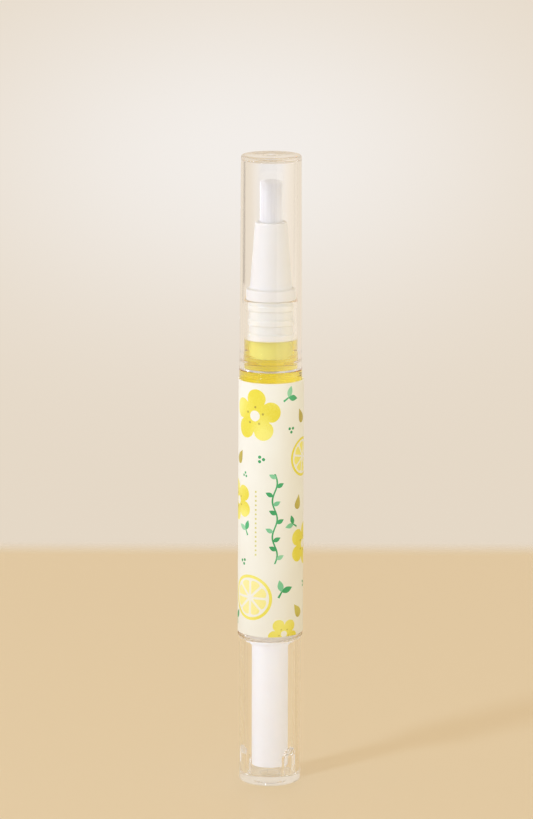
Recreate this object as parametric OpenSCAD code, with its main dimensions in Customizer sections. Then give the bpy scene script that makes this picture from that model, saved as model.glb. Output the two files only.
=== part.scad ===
// Twist-up nail oil pen: clear cap, brush nozzle, oil barrel with a label, and a clear twist knob.
// Origin at the centre of the standing foot, +Z up along the pen.

/* [Twist knob] */
// Length of the clear knob, foot to rim
knob_len = 31; // [28:0.5:34]
// How far the barrel's lip stands out over the knob
knob_inset = 0.34; // [0.1:0.02:0.5]
// Wall of the knob
knob_wall = 1.33; // [1.1:0.01:1.6]
// Thickness of the knob's floor
knob_floor_t = 1.8; // [1:0.1:2.4]
// Rounding of the foot's outer edge
knob_foot_r = 0.45; // [0.2:0.05:0.8]
// Chamfer inside the knob's rim
knob_rim_chamfer = 0.35; // [0.1:0.05:0.6]
// Ribs inside the foot that centre the drive tube
foot_ribs = 3; // [2:1:4]
// Thickness of a foot rib
foot_rib_t = 2.7; // [0.6:0.1:3.6]
// How far a foot rib stands in from the wall
foot_rib_w = 0.6; // [0.3:0.05:1.1]
// Turn of the foot ribs about the axis, in degrees
foot_rib_turn = 19; // [0:1:60]
// Height of a foot rib at the wall, above the floor
foot_rib_h = 6; // [4:0.1:8]
// How far a foot rib's top slopes down towards the tube
foot_rib_drop = 1.9; // [0.5:0.05:3]
// Diameter of the gate's recess under the foot
foot_gate_d = 4.2; // [3:0.1:6]
// Depth of that recess
foot_gate_drop = 0.15; // [0.1:0.01:0.3]
// Gap between the knob's rim and the barrel
turn_gap = 0.3; // [0.2:0.05:0.6]

/* [Drive tube] */
// Outside diameter of the drive tube
tube_d = 7.58; // [7.2:0.02:8]
// Bore of the drive tube
tube_bore_d = 5.4; // [4.8:0.1:5.8]
// Height of the drive tube's lower end above the knob's floor
tube_foot_gap = 1.6; // [0.8:0.1:2.4]
// Thickness of the collar that closes the knob's mouth
collar_t = 0.6; // [0.4:0.1:1]
// Depth of that collar below the knob's rim
collar_drop = 0.1; // [0:0.05:0.5]
// Height of the webs under the collar
collar_web_h = 1.2; // [0.6:0.1:2]
// Thickness of the webs under the collar
collar_web_t = 0.7; // [0.4:0.1:1]
// Number of webs under the collar
collar_webs = 2; // [2:1:4]
// Thickness of the flange that the retaining ring holds
flange_t = 1.2; // [0.8:0.1:1.6]
// Clearance round that flange in the barrel
flange_clearance = 0.4; // [0.2:0.05:0.6]
// Diameter of the spindle above the flange
spindle_d = 6.4; // [5.6:0.1:6.8]

/* [Barrel] */
// Length of the barrel from its tail to the shoulder that the cap meets
barrel_len = 56.5; // [52:0.5:64]
// Outside diameter at the tail, under the label
barrel_tail_d = 13.26; // [12.9:0.02:13.6]
// How much slimmer the barrel is at the shoulder
barrel_taper = 0.32; // [0:0.02:0.6]
// Wall of the barrel at its tail
barrel_wall = 1.33; // [1.1:0.01:1.5]
// Length of the clear lip at the tail
lip_len = 0.93; // [0.6:0.01:1.5]
// How far that lip stands out of the barrel's wall
lip_out = 0.14; // [0.06:0.02:0.2]
// Rounding of the lip's edges
lip_r = 0.25; // [0.1:0.05:0.4]
// Rounding of the shoulder's edge
shoulder_r = 0.3; // [0.1:0.05:0.6]
// Height of clear barrel that shows between the label and the cap
front_ring_len = 2.16; // [1.5:0.01:4]
// Clearance round the neck in the cap
neck_clearance = 0.1; // [0.08:0.01:0.2]
// Wall of the neck
neck_wall = 0.7; // [0.5:0.05:0.9]
// Length of the neck above the shoulder
neck_len = 14.4; // [12:0.1:17]
// Length of the cone from the barrel's bore to the neck's
bore_cone_len = 1.2; // [0.8:0.1:2]
// Depth of the neck's bore below the shoulder
neck_root_len = 1.4; // [0.8:0.1:2]
// Height of the snap bead above the shoulder
bead_up = 2.7; // [2:0.1:4]
// Width of the snap bead
bead_w = 1.2; // [0.6:0.1:1.6]
// How far the snap bead stands out of the neck
bead_out = 0.07; // [0.03:0.01:0.09]

/* [Label] */
// Thickness of the label
label_t = 0.14; // [0.06:0.02:0.14]
// Adhesive between the label and the barrel
glue_t = 0.01; // [0.01:0.01:0.03]
// Open seam at the label's back
label_seam = 0.3; // [0.1:0.1:1]

/* [Cap] */
// Length of the cap
cap_len = 44.15; // [43:0.05:48]
// How much slimmer the cap's mouth is than the barrel's shoulder
cap_step = 0.02; // [0:0.02:0.2]
// How much slimmer the cap is at its closed end
cap_taper = 0.56; // [0:0.02:0.8]
// Wall of the cap at its mouth
cap_wall = 0.86; // [0.7:0.02:1]
// Thickness of the closed end
cap_end_t = 1; // [0.9:0.1:2.2]
// Rounding of the closed end's edge
cap_top_r = 0.45; // [0.2:0.05:0.55]
// Chamfer inside the mouth
cap_mouth_chamfer = 0.35; // [0.1:0.05:0.5]
// Diameter of the gate recess in the closed end
gate_d = 3.4; // [2:0.1:5]
// Depth of the gate recess
gate_depth = 0.4; // [0.2:0.1:0.8]
// Height of the bump that backs the gate recess inside
gate_bump_h = 0.35; // [0.1:0.05:0.6]
// Width of that bump's blunt tip
gate_bump_tip_d = 0.2; // [0.1:0.1:1]
// Depth of the snap groove inside the cap
snap_groove_depth = 0.16; // [0.1:0.02:0.3]
// Gap between the cap and the barrel's shoulder
cap_seat_gap = 0.05; // [0.02:0.01:0.1]

/* [Nozzle] */
// How far the nozzle's flange stays inside the neck's edge
nozzle_flange_in = 0.4; // [0.1:0.05:0.6]
// Thickness of the nozzle's flange
nozzle_flange_t = 2.3; // [1.2:0.1:3]
// Diameter of the taper above the flange
nozzle_root_d = 8.7; // [8:0.1:9.4]
// Diameter of the taper at its mouth
nozzle_tip_d = 6.6; // [6.2:0.1:7.2]
// Bore of the nozzle at its mouth
nozzle_mouth_bore_d = 4.9; // [4.9:0.1:5.2]
// Length of that narrow bore
nozzle_mouth_len = 5.2; // [3:0.1:6]
// Bore of the nozzle below it
nozzle_bore_d = 5.8; // [5.6:0.1:6]
// Wall of the spigot that fits the neck plug
spigot_wall = 0.7; // [0.5:0.05:1]
// Length of the spigot
spigot_len = 5.2; // [3:0.1:6]
// Chamfer round the nozzle's mouth
nozzle_tip_chamfer = 0.25; // [0.1:0.05:0.4]

/* [Neck plug] */
// Beads round the plug
plug_beads = 3; // [2:1:4]
// Height of one bead
plug_bead_h = 1.5; // [0.8:0.1:1.8]
// Distance from one bead to the next
plug_bead_pitch = 3; // [2.2:0.1:3.4]
// Depth of the top bead below the neck's rim
plug_bead_drop = 0.7; // [0.2:0.1:1.2]
// How far a bead stands out of the plug
plug_bead_out = 0.3; // [0.2:0.05:0.7]
// Wall of the plug between its beads
plug_wall = 0.9; // [0.5:0.05:1]
// Thickness of the plug's floor
plug_floor_t = 1.5; // [1:0.1:2]
// Diameter of the tail tube under the plug
plug_tail_d = 6; // [5:0.1:7]
// Wall of the tail tube
plug_tail_wall = 0.9; // [0.5:0.1:1.2]
// Length of the tail tube
plug_tail_len = 3.9; // [2:0.1:4.5]

/* [Brush] */
// Diameter of the tuft
brush_d = 4.66; // [4.4:0.02:4.8]
// How far the tuft stands out of the nozzle
brush_out = 8.7; // [6:0.1:9.5]
// Room between the tuft and the cap's closed end
brush_room = 4.08; // [1:0.02:5]
// Rings of bristles from the middle to the rim, the outer rim not counted
brush_rings = 10; // [10:1:11]
// Inner rings left out for the feed tube
brush_open_rings = 2; // [2:1:3]
// Thickness of one bristle
bristle_d = 0.15; // [0.12:0.01:0.16]
// Thickness of a bristle's end
bristle_tip_d = 0.09; // [0.06:0.01:0.12]
// Thickness of the slice that the bristles are fused into
brush_root_t = 1.4; // [1:0.1:2]
// How much shorter the outer bristles are
brush_round = 0.9; // [0.3:0.1:1.5]
// How much single bristles differ in length
brush_scatter = 0.3; // [0:0.05:0.5]
// Outside diameter of the brush holder
holder_d = 5.7; // [5.5:0.1:5.9]
// Length of the brush holder
holder_len = 6; // [5:0.1:7]
// Thickness of the brush holder's floor
holder_floor_t = 1.5; // [1:0.1:2]
// Outside diameter of the feed tube
feed_d = 0.9; // [0.7:0.05:0.95]
// Bore of the feed tube
feed_bore_d = 0.5; // [0.3:0.05:0.6]
// How far the feed tube's end stays below the nozzle's mouth
feed_tip_drop = 1; // [0:0.5:4]
// How far the feed tube's lower end stays inside the plug's tail
feed_foot_in = 1; // [0:0.5:2]

/* [Feed screw] */
// Diameter over the thread's crests
rod_d = 4; // [3.6:0.1:4.2]
// Depth of the thread
thread_depth = 0.45; // [0.3:0.05:0.55]
// Advance of the rod in one turn of the knob
thread_lead = 2; // [1.5:0.25:2.5]
// Thickness of the rod across its two flats
rod_flats = 3.4; // [3:0.1:3.6]
// Gap between the rod's thread and the piston's back
rod_stop_gap = 0.4; // [0.2:0.1:1]
// Height of the rod's tail above the drive tube's end
rod_tail_up = 0.2; // [0.1:0.1:0.6]
// Diameter of the rod's neck inside the piston
rod_neck_d = 2; // [1.6:0.1:2.2]
// Length of that neck
rod_neck_len = 2.8; // [2.4:0.1:3.2]
// Diameter of the rod's head
rod_head_d = 3; // [2.6:0.1:3.2]
// Length of the rod's head
rod_head_len = 1.1; // [0.8:0.1:1.4]
// Length of the thread nut
nut_len = 5; // [4:0.5:5]
// Length of the keyed bore at the drive tube's upper end
key_len = 3.4; // [2.4:0.1:3.4]
// Radial clearance round the thread
thread_clearance = 0.15; // [0.12:0.01:0.2]

/* [Ratchet] */
// Length of the retaining ring in the barrel's tail
retainer_len = 2.6; // [2:0.1:3]
// Height of the ratchet ring
ratchet_h = 2; // [1.5:0.1:2.2]
// Teeth of the ratchet ring
ratchet_teeth = 16; // [10:1:20]
// Wall of the ratchet ring behind its teeth
ratchet_wall = 0.35; // [0.3:0.05:0.5]
// Depth of the ratchet teeth
ratchet_depth = 0.3; // [0.2:0.05:0.4]
// Thickness of the click spring's arms
click_arm_t = 0.4; // [0.3:0.05:0.5]
// Angle that a click spring's arm spans
click_arm_angle = 110; // [80:5:130]
// Width of the bridge from the hub to an arm
click_bridge_w = 0.9; // [0.6:0.1:1.2]
// How far a pawl stands out of its arm
click_pawl_out = 0.15; // [0.05:0.05:0.2]
// Wall of the click spring's hub
click_hub_wall = 0.4; // [0.3:0.05:0.5]
// Height of the click spring
click_h = 1.6; // [1.2:0.1:1.8]

/* [Piston] */
// Clearance round the piston in the barrel
piston_clearance = 0.6; // [0.4:0.05:0.8]
// Length of the piston
piston_len = 7; // [6.5:0.1:8]
// Length of the piston's chamfered nose
piston_nose_len = 1; // [0.5:0.1:1.4]
// Gap between the thread nut and the piston
piston_rest_gap = 1.2; // [0.6:0.1:2]
// Thickness of an O-ring
o_ring_t = 1; // [0.8:0.05:1.1]
// Height of the lower O-ring above the piston's back
o_ring_up = 2.2; // [1.8:0.1:2.4]
// Distance between the two O-rings
o_ring_pitch = 2.6; // [2:0.1:3]
// Clearance between the piston and the end of the oil
oil_gap = 0.1; // [0.05:0.05:0.3]

/* [Hidden] */

// Facets of the preview's round surfaces
$fn = 96;
// Overrun that carries a cut past the face it opens
cut = 0.2;
// Clearance between pieces that are pressed together
press = 0.02;
// Radial clearance between pieces that slide or turn on each other
run = 0.06;
// Radial clearance between the oil and the walls round it
wet = 0.05;
// Axial play between the drive tube and what it turns against
play = 0.1;
// Air between the drive tube's upper end and the thread nut
nut_gap = 0.2;
// Clearance round the rod's head in the piston
head_play = 0.12;
// Sides of a thread's sections, and sections in one turn of it
thread_sides = 16;
thread_rows = 6;
// Seed of the bristles' uneven lengths
brush_seed = 7;

// Outside diameters that follow one another along the pen
barrel_front_d = barrel_tail_d - barrel_taper;
lip_d = barrel_tail_d + 2 * lip_out;
cap_mouth_d = barrel_front_d - cap_step;
cap_top_d = cap_mouth_d - cap_taper;
knob_d = lip_d - 2 * knob_inset;

// Bores, and what fits inside them
knob_bore_d = knob_d - 2 * knob_wall;
barrel_bore_d = barrel_tail_d - 2 * barrel_wall;
flange_d = barrel_bore_d - 2 * flange_clearance;
ratchet_root_d = barrel_bore_d - 2 * ratchet_wall;
ratchet_tip_d = ratchet_root_d - 2 * ratchet_depth;
piston_d = barrel_bore_d - 2 * piston_clearance;
cap_bore_d = cap_mouth_d - 2 * cap_wall;
neck_d = cap_bore_d - 2 * neck_clearance;
neck_bore_d = neck_d - 2 * neck_wall;
plug_core_d = neck_bore_d - 2 * plug_bead_out;
spigot_d = plug_core_d - 2 * plug_wall;
spigot_bore_d = spigot_d - 2 * spigot_wall;
nozzle_flange_d = neck_d - 2 * nozzle_flange_in;

// Heights of the stack, from the foot up
tube_z = knob_floor_t + tube_foot_gap;
tail_z = knob_len + turn_gap;
label_z = tail_z + lip_len;
shoulder_z = tail_z + barrel_len;
label_len = barrel_len - lip_len - front_ring_len;
neck_top_z = shoulder_z + neck_len;
cap_z = shoulder_z + cap_seat_gap;
cap_in_z = cap_z + cap_len - cap_end_t;
bore_end_z = shoulder_z - neck_root_len - bore_cone_len;
neck_bore_z = shoulder_z - neck_root_len;
flange_z = tail_z + retainer_len + play;
ratchet_z = flange_z + flange_t + play;
tube_top_z = ratchet_z + ratchet_h + play + nut_gap;
nut_z = tube_top_z + nut_gap;
piston_z = nut_z + nut_len + piston_rest_gap;
piston_top_z = piston_z + piston_len;
rod_z = tube_z + rod_tail_up;
rod_top_z = piston_z - rod_stop_gap;
nozzle_z = neck_top_z + press;
taper_z = nozzle_z + nozzle_flange_t;
mouth_z = cap_in_z - brush_room - brush_out;
nozzle_len = mouth_z - taper_z;
step_z = mouth_z - nozzle_mouth_len;
holder_z = step_z - press - holder_len;
brush_z = holder_z + holder_floor_t + press;
bristle_z = brush_z + brush_root_t;
brush_tip_z = mouth_z + brush_out;
plug_bead_z = neck_top_z - plug_bead_drop - plug_bead_h;
plug_z = plug_bead_z - (plug_beads - 1) * plug_bead_pitch;
plug_tail_z = plug_z - plug_tail_len;
feed_z = plug_tail_z + feed_foot_in;
feed_top_z = mouth_z - feed_tip_drop;

// Radius of the barrel's outside at a height
function barrel_r(z) = (barrel_tail_d + (barrel_front_d - barrel_tail_d) * (z - tail_z) / barrel_len) / 2;

// A ring, or a disc where the bore is 0
module ring(outer_d, inner_d, height) {
    difference() {
        cylinder(d = outer_d, h = height);
        if (inner_d > 0) translate([0, 0, -cut]) cylinder(d = inner_d, h = height + 2 * cut);
    }
}

// A quarter of material with its rounding left out, for rounding an outline's convex corner
module corner_cut(r) {
    difference() {
        square(r + cut);
        circle(r);
    }
}

// Outline of the closed lower end of a tube, rounded at the outer edge
module foot_outline(r, height, fillet) {
    difference() {
        square([r, height]);
        translate([r - fillet, fillet]) mirror([0, 1]) corner_cut(fillet);
    }
}

module knob() {
    color([0.92, 0.94, 0.95, 0.35])
    union() {
        difference() {
            rotate_extrude() foot_outline(knob_d / 2, knob_len, knob_foot_r);
            translate([0, 0, knob_floor_t]) cylinder(d = knob_bore_d, h = knob_len);
            translate([0, 0, knob_len - knob_rim_chamfer])
            cylinder(
                d1 = knob_bore_d, d2 = knob_bore_d + 2 * (knob_rim_chamfer + cut),
                h = knob_rim_chamfer + cut
            );
            translate([0, 0, -cut]) cylinder(d = foot_gate_d, h = foot_gate_drop + cut);
        }
        for (i = [0:foot_ribs - 1]) rotate([0, 0, 180 + foot_rib_turn - 360 * i / foot_ribs]) foot_rib();
    }
}

// One rib of the knob, lying along +X from the drive tube's side into the wall
module foot_rib() {
    near = knob_bore_d / 2 - foot_rib_w;
    far = (knob_bore_d + knob_d) / 4;
    low_z = foot_rib_h - foot_rib_drop;
    translate([0, 0, knob_floor_t])
    difference() {
        translate([0, foot_rib_t / 2, 0])
        rotate([90, 0, 0])
        linear_extrude(foot_rib_t)
        polygon([
            [near / 2, -cut], [far, -cut], [far, foot_rib_h], [knob_bore_d / 2, foot_rib_h],
            [near, low_z], [near / 2, low_z]
        ]);
        cylinder(r = near, h = foot_rib_h);
    }
}

module drive_tube() {
    key_z = tube_top_z - key_len;
    collar_z = knob_len - collar_drop - collar_t;
    color([0.96, 0.95, 0.93])
    difference() {
        union() {
            translate([0, 0, tube_z]) cylinder(d = tube_d, h = flange_z + flange_t / 2 - tube_z);
            translate([0, 0, flange_z]) cylinder(d = spindle_d, h = tube_top_z - flange_z);
            translate([0, 0, collar_z]) cylinder(d = knob_bore_d - 2 * press, h = collar_t);
            translate([0, 0, flange_z]) cylinder(d = flange_d, h = flange_t);
            for (i = [0:collar_webs - 1]) rotate([0, 0, 360 * i / collar_webs]) collar_web(collar_z);
        }
        translate([0, 0, tube_z - cut]) cylinder(d = tube_bore_d, h = key_z - tube_z + cut);
        translate([0, 0, key_z - cut])
        intersection() {
            cylinder(d = rod_d + 2 * run, h = key_len + 2 * cut);
            translate([-rod_d, -rod_flats / 2 - run, 0])
            cube([2 * rod_d, rod_flats + 2 * run, key_len + 2 * cut]);
        }
    }
}

// One three-cornered web that stiffens the collar
module collar_web(collar_z) {
    near = (tube_d + tube_bore_d) / 4;
    translate([0, collar_web_t / 2, collar_z])
    rotate([90, 0, 0])
    linear_extrude(collar_web_t)
    polygon([
        [near, collar_t / 2], [knob_bore_d / 2 - run, collar_t / 2], [knob_bore_d / 2 - run, 0],
        [tube_d / 2, -collar_web_h], [near, -collar_web_h]
    ]);
}

// Click spring: a hub on the spindle with two long arms, whose pawls face the ratchet teeth
module click_spring() {
    hub_r = spindle_d / 2 + press + click_hub_wall;
    pawl_r = ratchet_tip_d / 2 - run;
    arm_r = pawl_r - click_pawl_out;
    arm_mid_r = arm_r - click_arm_t / 2;
    bridge_x = hub_r - click_hub_wall / 2;
    color([0.93, 0.93, 0.9])
    translate([0, 0, ratchet_z])
    linear_extrude(click_h)
    difference() {
        union() {
            circle(hub_r);
            for (turn = [0, 180]) rotate(turn) {
                intersection() {
                    difference() {
                        circle(arm_r);
                        circle(arm_r - click_arm_t);
                    }
                    sector(2 * arm_r, click_arm_angle);
                }
                translate([bridge_x, 0]) square([arm_mid_r - bridge_x, click_bridge_w]);
                rotate(click_arm_angle) translate([pawl_r - click_arm_t / 2, 0]) circle(d = click_arm_t);
            }
        }
        circle(spindle_d / 2 + press);
    }
}

// Flat wedge from +X round to an angle, with straight outer edges
module sector(r, turn) {
    edges = 4;
    polygon([[0, 0], for (i = [0:edges]) r * [cos(turn * i / edges), sin(turn * i / edges)]]);
}

// Ratchet ring: saw teeth that point inwards, pressed into the barrel
module ratchet_ring() {
    step = 360 / ratchet_teeth;
    root_r = ratchet_root_d / 2;
    tip_r = ratchet_tip_d / 2;
    color([0.95, 0.95, 0.93])
    translate([0, 0, ratchet_z])
    linear_extrude(ratchet_h)
    difference() {
        circle(d = barrel_bore_d - 2 * press);
        polygon([
            for (i = [0:ratchet_teeth - 1]) each [
                tip_r * [cos(i * step), sin(i * step)],
                root_r * [cos(i * step), sin(i * step)] * cos(step / 2),
                root_r * [cos((i + 0.5) * step), sin((i + 0.5) * step)]
            ]
        ]);
    }
}

module retaining_ring() {
    color([0.95, 0.95, 0.93])
    translate([0, 0, tail_z]) ring(barrel_bore_d - 2 * press, tube_d + 2 * run, retainer_len);
}

// Radius of a rounded thread whose crest and root follow one another in a wave
function thread_r(crest_r, depth, z, turn) = crest_r - depth * (1 - cos(360 * z / thread_lead - turn)) / 2;

// Corner of a thread's section at a height, cut by two flats where flat_w is not 0
function thread_point(crest_r, depth, flat_w, z, turn) =
    let (
        r = thread_r(crest_r, depth, z, turn),
        x = r * cos(turn),
        y = r * sin(turn)
    )
    [x, flat_w > 0 ? max(-flat_w / 2, min(flat_w / 2, y)) : y, z];

// Solid of a threaded bar from z = from to z = to, with plain round steps [z, radius] stacked on its end
module thread_bar(crest_r, depth, flat_w, from, to, steps = []) {
    sides = thread_sides;
    rows = ceil((to - from) / thread_lead * thread_rows);
    bar = [
        for (i = [0:rows]) [
            for (s = [0:sides - 1])
            thread_point(crest_r, depth, flat_w, from + (to - from) * i / rows, 360 * s / sides)
        ]
    ];
    stack = [
        for (step = steps) [
            for (s = [0:sides - 1])
            [step[1] * cos(360 * s / sides), step[1] * sin(360 * s / sides), step[0]]
        ]
    ];
    rings = concat(bar, stack);
    last = len(rings) - 1;
    polyhedron(
        points = [for (r = rings) each r],
        faces = concat(
            [for (s = [1:sides - 2]) [0, s, s + 1]],
            [for (s = [1:sides - 2]) [last * sides, last * sides + s + 1, last * sides + s]],
            [
                for (i = [0:last - 1], s = [0:sides - 1])
                let (a = i * sides + s, b = i * sides + (s + 1) % sides)
                each [[a, a + sides, b], [b, a + sides, b + sides]]
            ]
        )
    );
}

module screw_rod() {
    head_z = rod_top_z + rod_neck_len;
    color([0.95, 0.95, 0.93])
    thread_bar(
        rod_d / 2, thread_depth, rod_flats, rod_z, rod_top_z,
        [
            [rod_top_z, rod_neck_d / 2], [head_z, rod_neck_d / 2],
            [head_z, rod_head_d / 2], [head_z + rod_head_len, rod_head_d / 2]
        ]
    );
}

module thread_nut() {
    color([0.95, 0.95, 0.93])
    difference() {
        translate([0, 0, nut_z]) cylinder(d = barrel_bore_d - 2 * press, h = nut_len);
        thread_bar(rod_d / 2 + thread_clearance, thread_depth, 0, nut_z - cut, nut_z + nut_len + cut);
    }
}

module piston() {
    socket_z = rod_top_z + rod_neck_len - head_play;
    color([0.97, 0.97, 0.95])
    difference() {
        translate([0, 0, piston_z])
        rotate_extrude()
        polygon([
            [0, 0], [piston_d / 2, 0], [piston_d / 2, piston_len - piston_nose_len],
            [piston_d / 2 - piston_nose_len, piston_len], [0, piston_len]
        ]);
        for (up = [o_ring_up, o_ring_up + o_ring_pitch]) o_ring_groove(piston_z + up);
        translate([0, 0, piston_z - cut])
        cylinder(d = rod_neck_d + 2 * head_play, h = socket_z - piston_z + 2 * cut);
        translate([0, 0, socket_z])
        cylinder(d = rod_head_d + 2 * head_play, h = rod_head_len + 2 * head_play);
    }
}

// Groove of the piston whose middle is at height z
module o_ring_groove(z) {
    groove_w = o_ring_t + 2 * run;
    groove_d = barrel_bore_d - 2 * (run + o_ring_t + press);
    translate([0, 0, z - groove_w / 2]) ring(piston_d + 2 * cut, groove_d, groove_w);
}

// O-ring whose middle is at height z
module o_ring(z) {
    color([0.9, 0.9, 0.88])
    translate([0, 0, z])
    rotate_extrude() translate([barrel_bore_d / 2 - run - o_ring_t / 2, 0]) circle(d = o_ring_t);
}

module piston_front_ring() o_ring(piston_z + o_ring_up + o_ring_pitch);

module piston_rear_ring() o_ring(piston_z + o_ring_up);

module barrel() {
    bead_z = shoulder_z + bead_up;
    color([0.93, 0.95, 0.93, 0.35])
    difference() {
        union() {
            translate([0, 0, tail_z])
            rotate_extrude()
            difference() {
                polygon([
                    [0, 0], [lip_d / 2, 0], [lip_d / 2, lip_len], [barrel_r(label_z), lip_len],
                    [barrel_front_d / 2, barrel_len], [0, barrel_len]
                ]);
                translate([lip_d / 2 - lip_r, lip_r]) mirror([0, 1]) corner_cut(lip_r);
                translate([barrel_front_d / 2 - shoulder_r, barrel_len - shoulder_r])
                corner_cut(shoulder_r);
            }
            translate([0, 0, shoulder_z - cut]) cylinder(d = neck_d, h = neck_len + cut);
            translate([0, 0, bead_z])
            rotate_extrude()
            polygon([
                [0, -bead_w / 2], [neck_d / 2, -bead_w / 2], [neck_d / 2 + bead_out, -bead_w / 4],
                [neck_d / 2 + bead_out, bead_w / 4], [neck_d / 2, bead_w / 2], [0, bead_w / 2]
            ]);
        }
        translate([0, 0, tail_z - cut]) cylinder(d = barrel_bore_d, h = bore_end_z - tail_z + cut);
        translate([0, 0, bore_end_z]) cylinder(d1 = barrel_bore_d, d2 = neck_bore_d, h = bore_cone_len);
        translate([0, 0, neck_bore_z - cut])
        cylinder(d = neck_bore_d, h = neck_top_z - neck_bore_z + 2 * cut);
    }
}

module label() {
    low_r = barrel_r(label_z) + glue_t;
    high_r = barrel_r(label_z + label_len) + glue_t;
    color([0.97, 0.95, 0.86])
    translate([0, 0, label_z])
    difference() {
        rotate_extrude()
        polygon([
            [low_r, 0], [low_r + label_t, 0], [high_r + label_t, label_len], [high_r, label_len]
        ]);
        translate([-label_seam / 2, 0, -cut]) cube([label_seam, barrel_tail_d, label_len + 2 * cut]);
    }
}

// Oil in the barrel, from the piston to the foot of the neck
module oil_chamber() {
    low_z = piston_top_z + oil_gap;
    color([0.93, 0.82, 0.1, 0.8])
    rotate_extrude()
    polygon([
        [0, low_z], [barrel_bore_d / 2 - wet, low_z], [barrel_bore_d / 2 - wet, bore_end_z],
        [neck_bore_d / 2 - wet, neck_bore_z], [0, neck_bore_z]
    ]);
}

// Oil in the neck, round the plug's tail, inside it, and up to the plug's floor
module oil_neck() {
    tail_bore_d = plug_tail_d - 2 * plug_tail_wall;
    color([0.93, 0.84, 0.3, 0.8])
    difference() {
        translate([0, 0, neck_bore_z])
        cylinder(d = neck_bore_d - 2 * wet, h = plug_z - neck_bore_z - wet);
        translate([0, 0, plug_tail_z - wet])
        ring(plug_tail_d + 2 * wet, tail_bore_d - 2 * wet, plug_tail_len + cut);
        translate([0, 0, feed_z - wet]) cylinder(d = feed_d + 2 * wet, h = plug_z - feed_z + cut);
    }
}

module neck_plug() {
    tail_bore_d = plug_tail_d - 2 * plug_tail_wall;
    color([0.93, 0.93, 0.9, 0.7])
    difference() {
        union() {
            translate([0, 0, plug_z]) cylinder(d = plug_core_d, h = neck_top_z - plug_z);
            translate([0, 0, plug_tail_z]) cylinder(d = plug_tail_d, h = plug_tail_len + plug_floor_t / 2);
            for (i = [0:plug_beads - 1])
            translate([0, 0, plug_z + i * plug_bead_pitch])
            cylinder(d = neck_bore_d - 2 * press, h = plug_bead_h);
        }
        translate([0, 0, plug_z + plug_floor_t])
        cylinder(d = spigot_d + 2 * press, h = neck_top_z - plug_z - plug_floor_t + cut);
        translate([0, 0, plug_tail_z - cut]) cylinder(d = tail_bore_d, h = plug_tail_len + cut);
        translate([0, 0, plug_z - cut]) cylinder(d = feed_d + 2 * press, h = plug_floor_t + 2 * cut);
    }
}

module feed_tube() {
    color([0.9, 0.9, 0.88])
    translate([0, 0, feed_z]) ring(feed_d, feed_bore_d, feed_top_z - feed_z);
}

module nozzle() {
    color([0.97, 0.96, 0.95])
    difference() {
        union() {
            translate([0, 0, nozzle_z - spigot_len])
            cylinder(d = spigot_d, h = spigot_len + nozzle_flange_t / 2);
            translate([0, 0, nozzle_z]) cylinder(d = nozzle_flange_d, h = nozzle_flange_t);
            translate([0, 0, taper_z])
            rotate_extrude()
            polygon([
                [0, -nozzle_flange_t / 2], [nozzle_root_d / 2, -nozzle_flange_t / 2],
                [nozzle_root_d / 2, 0], [nozzle_tip_d / 2, nozzle_len - nozzle_tip_chamfer],
                [nozzle_tip_d / 2 - nozzle_tip_chamfer, nozzle_len], [0, nozzle_len]
            ]);
        }
        translate([0, 0, nozzle_z - spigot_len - cut])
        cylinder(d = spigot_bore_d, h = spigot_len + nozzle_flange_t + cut);
        translate([0, 0, taper_z - cut]) cylinder(d = nozzle_bore_d, h = step_z - taper_z + cut);
        translate([0, 0, step_z - cut]) cylinder(d = nozzle_mouth_bore_d, h = nozzle_mouth_len + 2 * cut);
    }
}

module brush_holder() {
    color([0.96, 0.95, 0.93])
    translate([0, 0, holder_z])
    difference() {
        cylinder(d = holder_d, h = holder_len);
        translate([0, 0, holder_floor_t]) cylinder(d = brush_d + 2 * press, h = holder_len);
        translate([0, 0, -cut]) cylinder(d = feed_d + 2 * press, h = holder_floor_t + 2 * cut);
    }
}

// Sites of a six-sided grid are numbered q and r. Their ring is their distance from the middle in steps.
function grid_ring(q, r) = max(abs(q), abs(r), abs(q + r));

// Place of a site in its ring, counted anticlockwise from +X in steps
function ring_place(q, r, ring) =
    q > 0 && r >= 0 ? r
    : q <= 0 && q + r > 0 ? ring - q
    : r > 0 || q < 0 && r <= 0 ? 3 * ring - r
    : q + r < 0 ? 4 * ring + q
    : 6 * ring + r;

// Direction of a site from the middle, in degrees
function site_turn(q, r, ring) = 60 * ring_place(q, r, ring) / ring;

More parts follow.
